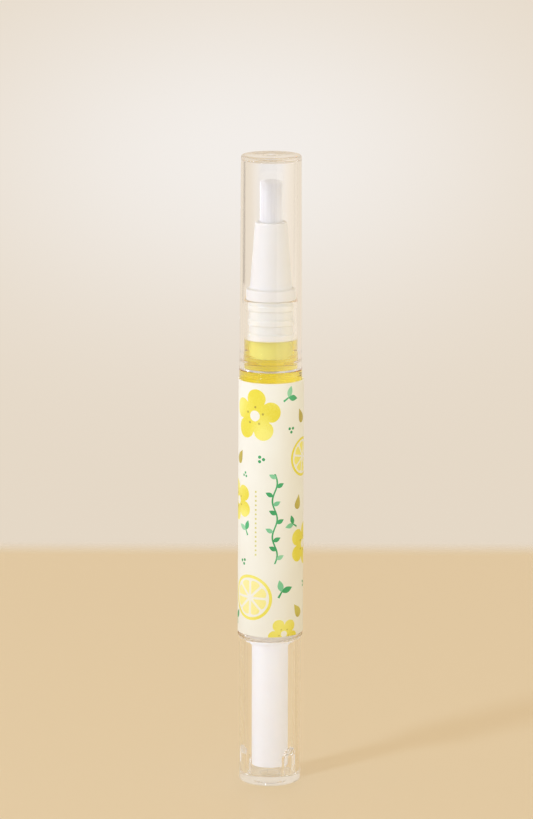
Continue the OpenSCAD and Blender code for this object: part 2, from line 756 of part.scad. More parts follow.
// Tuft as one closed solid: the grid's sites carry bristles of three sides, and its rims are plain circles
module brush_bristles() {
    rim = brush_rings + 1;
    hole = brush_open_rings;
    hole_r = feed_d / 2 + 2 * press;
    ring_step = (brush_d / 2 - bristle_d / 4) / rim;
    corner_turns = [30, 150, 270];
    sites = [
        for (q = [-rim:rim], r = [max(-rim, -rim - q):min(rim, rim - q)])
        let (ring = grid_ring(q, r))
        if (ring >= hole) [q, r, ring]
    ];
    // Bristle sites own 7 points: one under, three round the root and three round the tip. Rim sites own 2.
    counts = [for (s = sites) s[2] > hole && s[2] < rim ? 7 : 2];
    starts = [for (i = 0, sum = 0; i < len(sites); sum = sum + counts[i], i = i + 1) sum];
    columns = [for (i = [0:len(sites) - 1]) [sites[i][0], sites[i][1], starts[i]]];
    by_q = [for (q = [-rim:rim]) [for (c = columns) if (c[0] == q) c]];
    scatter = rands(0, brush_scatter, len(sites), brush_seed);

    // First point of a site, by its numbers
    function first(q, r) = [for (c = by_q[q + rim]) if (c[1] == r) c[2]][0];
    function plain(q, r) = let (g = grid_ring(q, r)) g == hole || g == rim;
    // Point of a site's root that faces 30, 150 or 270 degrees: corner 0, 1 or 2
    function root(q, r, corner) = first(q, r) + 1 + (plain(q, r) ? 0 : corner);
    function under(q, r) = first(q, r);
    function open(q, r) = grid_ring(q, r) >= hole && grid_ring(q, r) <= rim;
    // A loop of points with repeats left out, as triangles that face up or down
    function once(loop) = [for (i = [0:len(loop) - 1]) if (loop[i] != loop[(i + 1) % len(loop)]) loop[i]];
    function fan(loop) = [for (i = [1:1:len(loop) - 2]) [loop[0], loop[i + 1], loop[i]]];

    // The corners of a bristle's section at a height
    function corners(at, width, z) = [
        for (a = corner_turns) [at[0] + width / 2 * cos(a), at[1] + width / 2 * sin(a), z]
    ];
    // The first points of a plain ring's sites, in order round it
    function ring_firsts(ring) = [
        for (place = [0:6 * ring - 1], s = columns)
        if (grid_ring(s[0], s[1]) == ring && ring_place(s[0], s[1], ring) == place) s[2]
    ];

    points = [
        for (i = [0:len(sites) - 1])
        let (
            ring = sites[i][2],
            turn = site_turn(sites[i][0], sites[i][1], ring),
            r = ring == hole ? hole_r : ring == rim ? brush_d / 2 : ring * ring_step,
            at = r * [cos(turn), sin(turn)],
            tip_z = brush_tip_z - brush_round * pow(ring / brush_rings, 4) - scatter[i]
        )
        each ring == hole || ring == rim
            ? [[at[0], at[1], brush_z], [at[0], at[1], bristle_z]]
            : concat(
                [[at[0], at[1], brush_z]],
                corners(at, bristle_d, bristle_z),
                corners(at, bristle_tip_d, tip_z)
            )
    ];
    bristle_faces = [
        for (i = [0:len(sites) - 1]) if (counts[i] == 7)
        let (p = starts[i])
        each concat(
            [
                for (c = [0:2])
                let (a = p + 1 + c, b = p + 1 + (c + 1) % 3)
                each [[a, a + 3, b], [b, a + 3, b + 3]]
            ],
            [[p + 4, p + 6, p + 5]]
        )
    ];
    web_faces = [
        for (q = [-rim:rim], r = [-rim:rim])
        each concat(
            open(q, r) && open(q + 1, r) && open(q, r + 1)
                ? concat(
                    fan(once([root(q, r, 0), root(q + 1, r, 1), root(q, r + 1, 2)])),
                    [[under(q, r), under(q + 1, r), under(q, r + 1)]]
                )
                : [],
            open(q + 1, r) && open(q + 1, r + 1) && open(q, r + 1)
                ? concat(
                    fan(once([
                        root(q + 1, r, 1), root(q + 1, r, 0), root(q + 1, r + 1, 2),
                        root(q + 1, r + 1, 1), root(q, r + 1, 0), root(q, r + 1, 2)
                    ])),
                    [[under(q + 1, r), under(q + 1, r + 1), under(q, r + 1)]]
                )
                : []
        )
    ];
    rim_points = ring_firsts(rim);
    hole_points = ring_firsts(hole);
    rim_faces = [
        for (i = [0:6 * rim - 1])
        let (a = rim_points[i], b = rim_points[(i + 1) % (6 * rim)])
        each [[a, a + 1, b], [b, a + 1, b + 1]]
    ];
    hole_faces = [
        for (i = [0:6 * hole - 1])
        let (a = hole_points[i], b = hole_points[(i + 1) % (6 * hole)])
        each [[a, b, a + 1], [b, b + 1, a + 1]]
    ];
    color([0.97, 0.96, 0.95])
    polyhedron(points = points, faces = concat(bristle_faces, web_faces, rim_faces, hole_faces));
}

module cap() {
    bore_r = cap_bore_d / 2;
    groove_z = bead_up - cap_seat_gap;
    color([0.93, 0.94, 0.95, 0.3])
    translate([0, 0, cap_z])
    difference() {
        rotate_extrude()
        difference() {
            polygon([[0, 0], [cap_mouth_d / 2, 0], [cap_top_d / 2, cap_len], [0, cap_len]]);
            translate([cap_top_d / 2 - cap_top_r, cap_len - cap_top_r]) corner_cut(cap_top_r);
        }
        difference() {
            translate([0, 0, -cut]) cylinder(r = bore_r, h = cap_len - cap_end_t + cut);
            translate([0, 0, cap_len - cap_end_t - gate_bump_h])
            cylinder(d1 = gate_bump_tip_d, d2 = gate_d + 2 * gate_bump_h, h = gate_bump_h + cut);
        }
        translate([0, 0, -cut])
        cylinder(r1 = bore_r + cap_mouth_chamfer + cut, r2 = bore_r, h = cap_mouth_chamfer + cut);
        translate([0, 0, groove_z])
        rotate_extrude()
        polygon([
            [0, -bead_w], [bore_r, -bead_w], [bore_r + snap_groove_depth, -bead_w / 2],
            [bore_r + snap_groove_depth, bead_w / 2], [bore_r, bead_w], [0, bead_w]
        ]);
        translate([0, 0, cap_len - gate_depth]) cylinder(d = gate_d, h = gate_depth + cut);
    }
}

knob();
drive_tube();
click_spring();
screw_rod();
piston();
piston_front_ring();
piston_rear_ring();
barrel();
label();
retaining_ring();
ratchet_ring();
thread_nut();
oil_chamber();
oil_neck();
neck_plug();
feed_tube();
nozzle();
brush_holder();
brush_bristles();
cap();
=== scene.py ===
import math
import random

import bpy
from mathutils import Matrix, Vector, geometry


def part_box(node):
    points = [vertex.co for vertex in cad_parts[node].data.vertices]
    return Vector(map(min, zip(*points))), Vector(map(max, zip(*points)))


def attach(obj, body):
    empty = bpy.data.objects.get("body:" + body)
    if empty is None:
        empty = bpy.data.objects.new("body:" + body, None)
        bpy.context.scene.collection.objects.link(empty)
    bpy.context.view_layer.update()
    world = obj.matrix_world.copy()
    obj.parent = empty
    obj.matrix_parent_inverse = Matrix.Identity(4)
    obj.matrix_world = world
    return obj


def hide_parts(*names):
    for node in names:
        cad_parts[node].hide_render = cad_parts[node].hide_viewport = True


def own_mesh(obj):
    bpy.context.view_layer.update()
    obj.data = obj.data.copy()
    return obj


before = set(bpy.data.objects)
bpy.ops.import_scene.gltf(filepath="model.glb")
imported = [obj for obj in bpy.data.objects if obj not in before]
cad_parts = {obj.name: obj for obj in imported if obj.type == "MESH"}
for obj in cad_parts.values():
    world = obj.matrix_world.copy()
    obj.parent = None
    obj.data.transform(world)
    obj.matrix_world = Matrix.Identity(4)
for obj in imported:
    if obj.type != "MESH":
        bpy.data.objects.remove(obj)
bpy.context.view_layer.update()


# Barrel. The clear tube that holds the oil, injection moulded in one piece with its neck. A lip at its
# tail stands out as far as the label is thick, and a low bead round the neck snaps into the cap.
MM = 0.001


def linear(hex_colour):
    """An sRGB hex colour as the linear colour that shaders take."""
    shares = [int(hex_colour[i : i + 2], 16) / 255 for i in (1, 3, 5)]
    return [c / 12.92 if c <= 0.04045 else ((c + 0.055) / 1.055) ** 2.4 for c in shares] + [1.0]


def add(tree, kind, inputs=None, **settings):
    """A new shader node with its settings, and its inputs set to values or linked to other nodes."""
    node = tree.nodes.new("ShaderNode" + kind)
    for name, value in settings.items():
        setattr(node, name, value)
    for name, value in (inputs or {}).items():
        if isinstance(value, bpy.types.NodeSocket):
            tree.links.new(value, node.inputs[name])
        else:
            node.inputs[name].default_value = value
    return node


def new_material(name):
    """An empty material, and its node tree."""
    material = bpy.data.materials.new(name)
    material.use_nodes = True
    material.node_tree.nodes.clear()
    return material, material.node_tree


def rounded(outline, steps=16):
    """The points of an outline whose corners are (radius, height, rounding), all in mm."""
    points = []
    for i, (r, z, rounding) in enumerate(outline):
        here = Vector((r, z))
        if rounding == 0:
            points.append(here)
            continue
        back = (Vector(outline[i - 1][:2]) - here).normalized()
        ahead = (Vector(outline[(i + 1) % len(outline)][:2]) - here).normalized()
        half = back.angle(ahead) / 2
        middle = here + (back + ahead).normalized() * rounding / math.sin(half)
        start = (here + back * rounding / math.tan(half) - middle) / rounding
        end = (here + ahead * rounding / math.tan(half) - middle) / rounding
        points += [middle + start.slerp(end, s / steps) * rounding for s in range(steps + 1)]
    return points


def spun(name, outline, turns=192):
    """A solid of revolution about the pen's axis, from a closed outline that runs anticlockwise."""
    vertices, rows = [], []
    for r, z in rounded(outline):
        # A point on the axis stands alone.
        around = turns if r > 1e-6 else 1
        rows.append((len(vertices), around))
        for s in range(around):
            angle = 2 * math.pi * s / turns
            vertices.append((r * math.cos(angle) * MM, r * math.sin(angle) * MM, z * MM))
    faces = []
    for (low, low_count), (high, high_count) in zip(rows, rows[1:] + rows[:1]):
        for s in range(turns):
            after = (s + 1) % turns
            corners = [low + s % low_count, low + after % low_count]
            corners += [high + after % high_count, high + s % high_count]
            corners = list(dict.fromkeys(corners))
            if len(corners) > 2:
                faces.append(corners)
    mesh = bpy.data.meshes.new(name)
    mesh.from_pydata(vertices, [], faces)
    piece = bpy.data.objects.new(name, mesh)
    bpy.context.collection.objects.link(piece)
    return piece


def finished(piece, material, body, replaced, sharp_from=35):
    """Smooths a piece up to an angle in degrees, gives it its material and ties it to the frame."""
    piece.data.materials.clear()
    piece.data.materials.append(material)
    piece.data.polygons.foreach_set("use_smooth", [True] * len(piece.data.polygons))
    piece.data.set_sharp_from_angle(angle=math.radians(sharp_from))
    piece.modifiers.new("even_normals", "WEIGHTED_NORMAL").keep_sharp = True
    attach(piece, body)
    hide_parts(*replaced)
    return piece


def let_light_through(tree, body, share):
    """Ends a clear material so that a share of the light passes it to what is inside and behind."""
    path = add(tree, "LightPath")
    light = add(tree, "Math", {
        0: path.outputs["Is Shadow Ray"], 1: path.outputs["Is Diffuse Ray"],
    }, operation="MAXIMUM")
    opening = add(tree, "BsdfTransparent", {"Color": (share, share, share, 1.0)})
    mix = add(tree, "MixShader", {0: light.outputs[0], 1: body.outputs[0], 2: opening.outputs[0]})
    add(tree, "OutputMaterial", {"Surface": mix.outputs[0]})


def clear_plastic(name, tint, ior, waviness_mm):
    """A polished clear plastic. Its mould leaves faint waves, which bend what shows through a little."""
    wave_mm = 9
    material, tree = new_material(name)
    place = add(tree, "TexCoord")
    waves = add(tree, "TexNoise", {
        "Vector": place.outputs["Object"], "Scale": 1 / (wave_mm * MM), "Detail": 1.0,
    })
    bump = add(tree, "Bump", {"Height": waves.outputs[0], "Distance": waviness_mm * MM, "Strength": 1.0})
    body = add(tree, "BsdfPrincipled", {
        "Base Color": linear(tint), "Roughness": 0.015, "IOR": ior, "Transmission Weight": 1.0,
        "Normal": bump.outputs[0],
    })
    let_light_through(tree, body, 0.99)
    return material


tail_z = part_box("barrel")[0][2] / MM
neck_top_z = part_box("barrel")[1][2] / MM
body_h, lip_h = 56.5, 0.93
bore_r, neck_bore_r, neck_r = 5.3, 4.8, 5.5
barrel_tail_r, barrel_front_r, lip_r = 6.63, 6.47, 6.77
shoulder_z = tail_z + body_h
lip_z = tail_z + lip_h
# Under the shoulder the bore narrows to the neck's in a cone.
cone_drop, neck_bore_drop = 2.6, 1.4
cone_z = shoulder_z - cone_drop
neck_bore_z = shoulder_z - neck_bore_drop
# The snap bead's middle, how far it stands out, and half its height at its crest and at its foot.
snap_z = shoulder_z + 2.7
snap_out, snap_crest, snap_foot = 0.07, 0.3, 0.6
# The rim bears on the nozzle's flange, so the two overlap by a hair.
rim_z = neck_top_z + 0.03

# Clear copolyester: water-clear, glossy, and thick enough at the neck to show bright and dark edges.
clear_copolyester = clear_plastic("clear_copolyester", "#FFFFFF", 1.57, 0.004)

barrel = spun("clear_barrel", [
    (bore_r, tail_z, 0.12), (lip_r, tail_z, 0.25), (lip_r, lip_z, 0.12), (barrel_tail_r, lip_z, 0.04),
    (barrel_front_r, shoulder_z, 0.3), (neck_r, shoulder_z, 0.12),
    (neck_r, snap_z - snap_foot, 0.1), (neck_r + snap_out, snap_z - snap_crest, 0.1),
    (neck_r + snap_out, snap_z + snap_crest, 0.1), (neck_r, snap_z + snap_foot, 0.1),
    (neck_r, rim_z, 0.12), (neck_bore_r, rim_z, 0.1),
    (neck_bore_r, neck_bore_z, 0.3), (bore_r, cone_z, 0.3),
])
finished(barrel, clear_copolyester, "barrel", ["barrel"])


# Oil. It fills the barrel from the piston to the neck plug and wets every wall, so it looks as wide as
# the barrel. The lower part gets shorter as the piston comes up, and the upper part stays.
# Oil clings, so it overlaps the plug above it, the wall round it and its own other part by a hair.
on_plug, on_wall, on_itself = 0.07, 0.03, 0.02
oil_low_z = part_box("oil_chamber")[0][2] / MM
oil_top_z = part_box("oil_neck")[1][2] / MM + on_plug
# Height where the two parts meet, just above where the piston's nose ends its travel.
oil_split_z = 81.5
oil_seam_z = oil_split_z + on_itself
oil_r, oil_neck_r = bore_r + on_wall, neck_bore_r + on_wall

# Nail oil: clear, golden in the depth of the barrel and pale where it is thin. What a ray loses in it is
# set in 1/m for red, green and blue, and turned to a density and a colour. Its index is close to the
# plastic's, so where they touch hardly anything is reflected. Slow swirls in it are about 6 mm across.
oil_losses = (6.0, 22.0, 390.0)
golden_oil, oil_tree = new_material("golden_nail_oil")
oil_place = add(oil_tree, "TexCoord")
oil_swirl = add(oil_tree, "TexNoise", {
    "Vector": oil_place.outputs["Object"], "Scale": 1 / (6 * MM), "Detail": 1.0,
})
oil_bump = add(oil_tree, "Bump", {
    "Height": oil_swirl.outputs[0], "Distance": 0.004 * MM, "Strength": 1.0,
})
oil_skin = add(oil_tree, "BsdfPrincipled", {
    "Base Color": linear("#FFFFFF"), "Roughness": 0.0, "IOR": 1.47, "Transmission Weight": 1.0,
    "Specular Tint": linear("#454545"), "Normal": oil_bump.outputs[0],
})
oil_depth = add(oil_tree, "VolumeAbsorption", {
    "Color": [1 - loss / max(oil_losses) for loss in oil_losses] + [1.0], "Density": max(oil_losses),
})
let_light_through(oil_tree, oil_skin, 1.0)
oil_tree.links.new(oil_depth.outputs[0], oil_tree.nodes["Material Output"].inputs["Volume"])

oil_upper = spun("oil_under_the_plug", [
    (0, oil_split_z, 0), (oil_r, oil_split_z, 0.02), (oil_r, cone_z, 0.3), (oil_neck_r, neck_bore_z, 0.3),
    (oil_neck_r, oil_top_z, 0.02), (0, oil_top_z, 0),
])
finished(oil_upper, golden_oil, "barrel", ["oil_neck"])

oil_lower = spun("oil_over_the_piston", [
    (0, oil_low_z, 0), (oil_r, oil_low_z, 0.05), (oil_r, oil_seam_z, 0.02), (0, oil_seam_z, 0),
], turns=96)
finished(oil_lower, golden_oil, "barrel", ["oil_chamber"])
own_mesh(oil_lower)


# Neck plug. A soft cup of unpigmented polyethylene, pushed into the neck on three sealing beads, with
# a tail tube that hangs in the oil. It is milky, and lets light through where it is thin.
plug_low_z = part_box("neck_plug")[0][2] / MM
plug_tail_h, plug_floor_t = 3.9, 1.5
plug_z = plug_low_z + plug_tail_h
cup_floor_z = plug_z + plug_floor_t
plug_bead_r, plug_core_r, plug_cup_r = 4.78, 4.5, 3.62
plug_tail_r, plug_tail_bore_r, feed_hole_r = 3.0, 2.1, 0.47
plug_bead_count, bead_h, bead_pitch, bead_slope, bead_round = 3, 1.5, 3.0, 0.3, 0.15

# Natural polyethylene: waxy and milky with faint clouds, so light glows in it and softens its beads.
natural_polyethylene, plug_tree = new_material("natural_polyethylene")
plug_place = add(plug_tree, "TexCoord")
plug_cloud = add(plug_tree, "TexNoise", {
    "Vector": plug_place.outputs["Object"], "Scale": 1 / (1.2 * MM),
})
plug_tone = add(plug_tree, "Mix", {
    "Factor": plug_cloud.outputs[0], 6: linear("#EAE9E0"), 7: linear("#F0EFE6"),
}, data_type="RGBA")
plug_body = add(plug_tree, "BsdfPrincipled", {
    "Base Color": plug_tone.outputs[2], "Roughness": 0.35, "IOR": 1.51,
    "Subsurface Weight": 1.0, "Subsurface Scale": 0.7 * MM, "Subsurface Radius": (1.0, 0.95, 0.85),
})
add(plug_tree, "OutputMaterial", {"Surface": plug_body.outputs[0]})

plug_beads = []
for i in range(plug_bead_count):
    low_z = plug_z + i * bead_pitch
    # The lowest bead's underside is flat, because it is the cup's own.
    plug_beads.append((plug_bead_r, low_z + bead_slope * (i > 0), bead_round))
    plug_beads.append((plug_bead_r, low_z + bead_h - bead_slope, bead_round))
    if i < plug_bead_count - 1:
        plug_beads.append((plug_core_r, low_z + bead_h, bead_round))
        plug_beads.append((plug_core_r, low_z + bead_pitch, bead_round))
beads_top_z = plug_z + (plug_bead_count - 1) * bead_pitch + bead_h
neck_plug = spun("ribbed_neck_plug", [
    (plug_tail_bore_r, plug_low_z, 0.15), (plug_tail_r, plug_low_z, 0.15), (plug_tail_r, plug_z, 0.2),
    *plug_beads,
    (plug_core_r, beads_top_z, 0.1), (plug_core_r, neck_top_z, 0.1),
    (plug_cup_r, neck_top_z, 0.1), (plug_cup_r, cup_floor_z, 0.2),
    (feed_hole_r, cup_floor_z, 0.05), (feed_hole_r, plug_z, 0.05), (plug_tail_bore_r, plug_z, 0.2),
])
finished(neck_plug, natural_polyethylene, "barrel", ["neck_plug"])


# Nozzle. White polypropylene, moulded: a spigot in the plug's cup, a flange on the neck's rim and a
# long taper that guards the brush. The mould's polish is satin, with faint lines along the draw.
nozzle_low_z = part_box("nozzle")[0][2] / MM
mouth_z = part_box("nozzle")[1][2] / MM
flange_gap, flange_t, flange_r = 0.02, 2.3, 5.1
flange_z = neck_top_z + flange_gap
taper_z = flange_z + flange_t
taper_r, mouth_r, spigot_r = 4.35, 3.3, 3.6
# The brush holder's room, and above it the bore that fits the tuft.
holder_room_r, tuft_bore_r, tuft_bore_h = 2.9, 2.45, 5.2
room_top_z = mouth_z - tuft_bore_h


def satin_plastic(name, light, deep, roughness, scatter_mm, glow="#000000"):
    """A white moulded plastic with fine lines and clouds from the mould. Light sinks into it a little, and
    its painted glow stands for light that a clear wall close round it sends back."""
    # Real draw lines are finer than 0.1 mm. They are drawn wider, so that they show.
    line_mm, line_stretch, cloud_mm = 0.35, 0.06, 5
    material, tree = new_material(name)
    place = add(tree, "TexCoord")
    stretch = add(tree, "Mapping", {"Vector": place.outputs["Object"], "Scale": (1.0, 1.0, line_stretch)})
    lines = add(tree, "TexNoise", {
        "Vector": stretch.outputs[0], "Scale": 1 / (line_mm * MM), "Detail": 2.0,
    })
    clouds = add(tree, "TexNoise", {"Vector": place.outputs["Object"], "Scale": 1 / (cloud_mm * MM)})
    tone = add(tree, "Mix", {
        "Factor": clouds.outputs[0], 6: linear(deep), 7: linear(light),
    }, data_type="RGBA")
    gloss = add(tree, "MapRange", {
        "Value": lines.outputs[0], "To Min": roughness - 0.05, "To Max": roughness + 0.08,
    })
    bump = add(tree, "Bump", {"Height": lines.outputs[0], "Distance": 0.002 * MM, "Strength": 1.0})
    body = add(tree, "BsdfPrincipled", {
        "Base Color": tone.outputs[2], "Roughness": gloss.outputs[0], "IOR": 1.49,
        "Subsurface Weight": 0.35, "Subsurface Scale": scatter_mm * MM,
        "Subsurface Radius": (1.0, 0.9, 0.8), "Normal": bump.outputs[0],
        "Emission Color": linear(glow), "Emission Strength": 1.0,
    })
    add(tree, "OutputMaterial", {"Surface": body.outputs[0]})
    return material


# White polypropylene: bright, with soft edges and a satin sheen.
white_polypropylene = satin_plastic("white_polypropylene", "#EBEAE6", "#E6E5E0", 0.36, 0.7)

nozzle = spun("white_nozzle", [
    (holder_room_r, nozzle_low_z, 0.1), (spigot_r, nozzle_low_z, 0.15), (spigot_r, flange_z, 0.1),
    (flange_r, flange_z, 0.2), (flange_r, taper_z, 0.3), (taper_r, taper_z, 0.35),
    (mouth_r, mouth_z, 0.28), (tuft_bore_r, mouth_z, 0.12),
    (tuft_bore_r, room_top_z, 0.1), (holder_room_r, room_top_z, 0.1),
])
finished(nozzle, white_polypropylene, "barrel", ["nozzle"])


# Brush. A round tuft of fine nylon bristles, fused at the root, with a nearly flat tip whose outer
# bristles are a little shorter. Each bristle tapers and leans its own way by a hair.
tuft_low_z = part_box("brush_bristles")[0][2] / MM
tuft_top_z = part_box("brush_bristles")[1][2] / MM
tuft_r, feed_room_r = 2.33, 0.49
bristle_r, bristle_pitch, bristle_sides = 0.068, 0.142, 6
root_h = 1.4
root_top_z = tuft_low_z + root_h
# The middle of the tuft is too dense to see into, so it is one core up to just under the tips.
core_r = tuft_r - 2.2 * bristle_pitch
core_top_z = tuft_top_z - 1.6
# How far the tip rounds off at its rim, how unevenly the bristles end, and how far they lean.
tip_round, tip_scatter, bristle_lean = 0.38, 0.22, 0.04
inner_bristle_r = 0.55
# A bristle's width at shares of its length.
bristle_taper = [(0, 1.0), (0.55, 1.0), (0.9, 0.85), (0.985, 0.5), (1.0, 0.2)]
stray = random.Random(11)

# White nylon: soft, bright and faintly streaked along the bristles. The streaks are drawn as wide as a
# few bristles, so that they show, and its painted glow stands for light that goes from bristle to bristle.
nylon, nylon_tree = new_material("white_nylon_bristles")
nylon_place = add(nylon_tree, "TexCoord")
nylon_stretch = add(nylon_tree, "Mapping", {
    "Vector": nylon_place.outputs["Object"], "Scale": (1.0, 1.0, 0.03),
})
nylon_streaks = add(nylon_tree, "TexNoise", {
    "Vector": nylon_stretch.outputs[0], "Scale": 1 / (0.5 * MM), "Detail": 3.0,
})
nylon_tone = add(nylon_tree, "Mix", {
    "Factor": nylon_streaks.outputs[0], 6: linear("#E2DFDC"), 7: linear("#FFFFFF"),
}, data_type="RGBA")
nylon_body = add(nylon_tree, "BsdfPrincipled", {
    "Base Color": nylon_tone.outputs[2], "Roughness": 0.42, "IOR": 1.53,
    "Subsurface Weight": 0.7, "Subsurface Scale": 0.25 * MM, "Subsurface Radius": (1.0, 1.0, 0.95),
    "Emission Color": linear("#3F3F3E"), "Emission Strength": 1.0,
})
add(nylon_tree, "OutputMaterial", {"Surface": nylon_body.outputs[0]})

brush_root = spun("fused_brush_root", [
    (feed_room_r, tuft_low_z, 0), (tuft_r, tuft_low_z, 0.1), (tuft_r, root_top_z, 0.1),
    (core_r, root_top_z, 0.05), (core_r, core_top_z, 0.1), (feed_room_r, core_top_z, 0),
], turns=48)
finished(brush_root, nylon, "barrel", ["brush_bristles"])

bristle_points, bristle_faces = [], []
# The bristles start a hair inside the root.
bristle_low_z = root_top_z - 0.05
rings = round((tuft_r - bristle_r - inner_bristle_r) / bristle_pitch)
for ring in range(rings + 1):
    out = tuft_r - bristle_r - ring * bristle_pitch
    strands = round(2 * math.pi * out / bristle_pitch)
    start = stray.uniform(0, math.pi)
    for strand in range(strands):
        around = start + 2 * math.pi * (strand + stray.uniform(-0.2, 0.2)) / strands
        x, y = out * math.cos(around), out * math.sin(around)
        tip_z = tuft_top_z - tip_round * (out / tuft_r) ** 6 - stray.uniform(0, tip_scatter)
        lean_x = stray.uniform(-bristle_lean, bristle_lean)
        lean_y = stray.uniform(-bristle_lean, bristle_lean)
        first = len(bristle_points)
        for share, width in bristle_taper:
            z = bristle_low_z + (tip_z - bristle_low_z) * share
            for side in range(bristle_sides):
                angle = 2 * math.pi * side / bristle_sides
                bristle_points.append((
                    (x + lean_x * share**2 + bristle_r * width * math.cos(angle)) * MM,
                    (y + lean_y * share**2 + bristle_r * width * math.sin(angle)) * MM,
                    z * MM,
                ))
        for level in range(len(bristle_taper) - 1):
            low = first + level * bristle_sides
            high = low + bristle_sides
            for side in range(bristle_sides):
                after = (side + 1) % bristle_sides
                bristle_faces.append((low + side, low + after, high + after, high + side))
        top = first + (len(bristle_taper) - 1) * bristle_sides
        bristle_faces.append(tuple(range(top, top + bristle_sides)))
        bristle_faces.append(tuple(reversed(range(first, first + bristle_sides))))
bristle_mesh = bpy.data.meshes.new("bristles")
bristle_mesh.from_pydata(bristle_points, [], bristle_faces)
bristles = bpy.data.objects.new("brush_bristle_tuft", bristle_mesh)
bpy.context.collection.objects.link(bristles)
finished(bristles, nylon, "barrel", ["brush_bristles"])


# Label. A printed cream paper label with a satin film, wrapped once round the barrel. Its outer end
# laps over its inner end at the right and stands off a little there. The print is of its own design.
label_low_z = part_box("label")[0][2] / MM
label_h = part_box("label")[1][2] / MM - label_low_z
label_t, label_mean_r, glue_t = 0.14, 6.62, 0.012
# The outer end lies to the right of the front, and laps over the inner one. Over its last stretch it
# lifts off the barrel, more at the top than at the bottom.
label_end_turn, label_lap_turn = math.radians(97), math.radians(10)
label_lift, label_lift_turn, lift_at_bottom = 0.24, math.radians(48), 0.35
label_u_end = label_end_turn * label_mean_r
label_u_start = label_u_end - (2 * math.pi + label_lap_turn) * label_mean_r


def disc(u, v, r, points=28):
    """Outline of a round spot on the label, in mm along its width u and height v."""
    return [
        (u + r * math.cos(2 * math.pi * i / points), v + r * math.sin(2 * math.pi * i / points))
        for i in range(points)
    ]


def turned(shape, u, v, turn):
    """A shape drawn round (0, 0), turned by an angle in degrees and moved to its place."""
    c, s = math.cos(math.radians(turn)), math.sin(math.radians(turn))
    return [(u + c * x - s * y, v + s * x + c * y) for x, y in shape]


def leaf(length, width, points=22):
    """A pointed leaf along +v from (0, 0)."""
    side = [
        (width / 2 * math.sin(math.pi * (i / points) ** 0.85), length * i / points)
        for i in range(points + 1)
    ]
    return side + [(-x, y) for x, y in reversed(side[1:-1])]


def drop(length, points=30):
    """A drop of oil with its point up, as high as length."""
    return [
        (length * 0.42 * math.sin(t) * math.sin(t / 2) ** 1.5, length * 0.5 * math.cos(t))
        for t in (2 * math.pi * i / points for i in range(points))
    ]


def blossom(u, v, size, turn):
    """A five-petalled blossom: petals, a cream eye and its stamens."""
    petals = []
    for i in range(80):
        t = 2 * math.pi * i / 80
        r = size * (0.58 + 0.42 * abs(math.cos(2.5 * t)) ** 0.62)
        petals.append((r * math.cos(t), r * math.sin(t)))
    shapes = [("yellow", turned(petals, u, v, turn)), ("paper", disc(u, v, size * 0.2))]
    for i in range(5):
        t = math.radians(turn + 72 * i)
        stamen_u, stamen_v = u + 0.33 * size * math.cos(t), v + 0.33 * size * math.sin(t)
        shapes.append(("olive", disc(stamen_u, stamen_v, size * 0.045, 12)))
    return shapes


def citrus(u, v, size, turn):
    """A round slice of citrus: peel, pith and eight segments."""
    shapes = [("yellow", disc(u, v, size, 56)), ("paper", disc(u, v, size * 0.87, 56))]
    for i in range(8):
        middle = math.radians(turn + 45 * i)
        wedge = [(u + 0.14 * size * math.cos(middle), v + 0.14 * size * math.sin(middle))]
        for j in range(9):
            t = middle + math.radians(18.5) * (j / 4 - 1)
            r = size * (0.78 - 0.07 * abs(j / 4 - 1) ** 3)
            wedge.append((u + r * math.cos(t), v + r * math.sin(t)))
        shapes.append(("pale", wedge))
    return shapes


def sprig(u, v, size, turn):
    """A short stem with a pair of leaves."""
    foot, top = -0.55 * size, 0.1 * size
    stem = [(-0.09 * size, foot), (0.09 * size, foot), (0.06 * size, top), (-0.06 * size, top)]
    shapes = [("green", turned(stem, u, v, turn))]
    for side in (-1, 1):
        blade = turned(leaf(size, size * 0.5), 0, 0, -42 * side)
        shapes.append(("green" if side > 0 else "mint", turned(blade, u, v, turn)))
    return shapes


def trefoil(u, v, size, turn):
    """Three small spots in a triangle."""
    spots = [math.radians(turn + 120 * i) for i in range(3)]
    return [
        ("green", disc(u + size * math.cos(t), v + size * math.sin(t), size * 0.62, 16)) for t in spots
    ]


def oil_drop(u, v, size, turn):
    """A single drop in olive."""
    return [("olive", turned(drop(size), u, v, turn))]


def vine(u, low_v, high_v):
    """A twisting stem with leaves on alternate sides."""
    steps, leaves, waves, sway, stem_half = 60, 10, 2.5, 0.5, 0.17
    path = [
        (u + sway * math.sin(2 * math.pi * waves * i / steps), low_v + (high_v - low_v) * i / steps)
        for i in range(steps + 1)
    ]
    stem = [(x - stem_half, y) for x, y in path] + [(x + stem_half, y) for x, y in reversed(path)]
    shapes = [("green", stem)]
    for i in range(leaves):
        x, y = path[int((i + 0.6) * steps / leaves)]
        side = -1 if i % 2 else 1
        shapes.append(("green" if i % 3 else "mint", turned(leaf(1.75, 0.95), x, y, -62 * side)))
    return shapes


